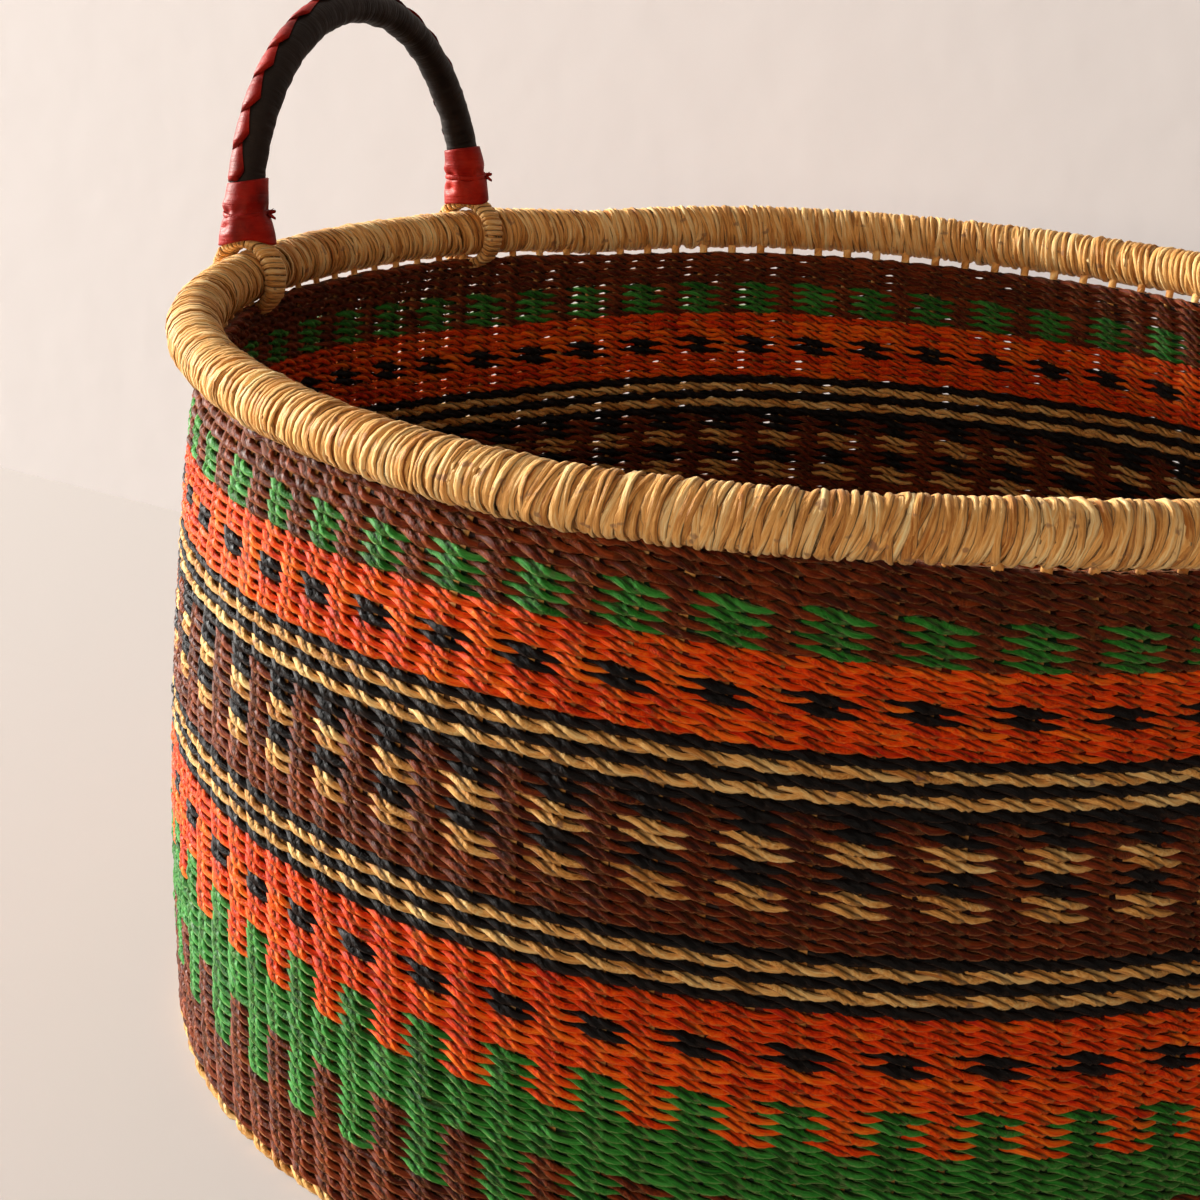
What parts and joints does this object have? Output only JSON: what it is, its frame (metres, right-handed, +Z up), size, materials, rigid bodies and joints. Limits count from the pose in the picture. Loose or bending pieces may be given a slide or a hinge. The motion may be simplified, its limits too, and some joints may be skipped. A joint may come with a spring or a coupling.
{
  "type": "bolga basket",
  "caption": "Round twined-grass storage basket with dyed bands, a straw-wrapped rim and leather-covered handles that swing on straw-bound loops round the rim.",
  "frame": {"origin": "centre of the underside of the base, where the basket's axis meets the floor", "axes": "+Z up along the basket's axis, +X towards the right handle, -X towards the left handle, -Y the front"},
  "size_m": [0.4676, 0.4676, 0.3407],
  "materials": {
    "straw_natural": "satin straw",
    "straw_orange": "satin dyed straw",
    "straw_green": "satin dyed straw",
    "straw_brown": "satin dyed straw",
    "straw_black": "satin dyed straw",
    "straw_binding": "satin straw",
    "leather_black": "satin",
    "leather_red": "satin"
  },
  "bodies": {
    "basket": {"base_start_disc": "straw_natural", "base_weave_inner": "straw_brown", "base_weave_outer": "straw_natural", "foot_ring": "straw_natural", "weft_brown_lower": "straw_brown", "weft_green_brown_lower": "straw_green", "weft_green_middle": "straw_green", "weft_orange_green": "straw_orange", "weft_orange_lower": "straw_orange", "weft_black_1": "straw_black", "weft_natural_1": "straw_natural", "weft_black_2": "straw_black", "weft_natural_2": "straw_natural", "weft_black_3": "straw_black", "weft_brown_check": "straw_brown", "weft_black_4": "straw_black", "weft_natural_3": "straw_natural", "weft_black_5": "straw_black", "weft_natural_4": "straw_natural", "weft_black_6": "straw_black", "weft_orange_upper": "straw_orange", "weft_green_brown_upper": "straw_green", "weft_brown_top": "straw_brown", "rim_core": "straw_binding", "rim_wrap": "straw_binding"},
    "handle_left": {"handle_left_core": "straw_binding", "handle_left_cover": "leather_black", "handle_left_lacing": "leather_red", "handle_left_loop_front": "straw_binding", "handle_left_loop_back": "straw_binding", "handle_left_cuff_front": "leather_red", "handle_left_cuff_back": "leather_red", "handle_left_tie_front": "leather_red", "handle_left_tie_back": "leather_red"},
    "handle_right": {"handle_right_core": "straw_binding", "handle_right_cover": "leather_black", "handle_right_lacing": "leather_red", "handle_right_loop_front": "straw_binding", "handle_right_loop_back": "straw_binding", "handle_right_cuff_front": "leather_red", "handle_right_cuff_back": "leather_red", "handle_right_tie_front": "leather_red", "handle_right_tie_back": "leather_red"}
  },
  "joints": [
    {"name": "handle_left_swing", "type": "hinge", "parent": "basket", "child": "handle_left", "pos_m": [-0.21437, 0, 0.243], "axis": [0, -1, 0], "range_deg": [-115, 130]},
    {"name": "handle_right_swing", "type": "hinge", "parent": "basket", "child": "handle_right", "pos_m": [0.21437, 0, 0.243], "axis": [0, 1, 0], "range_deg": [-115, 130]}
  ]
}
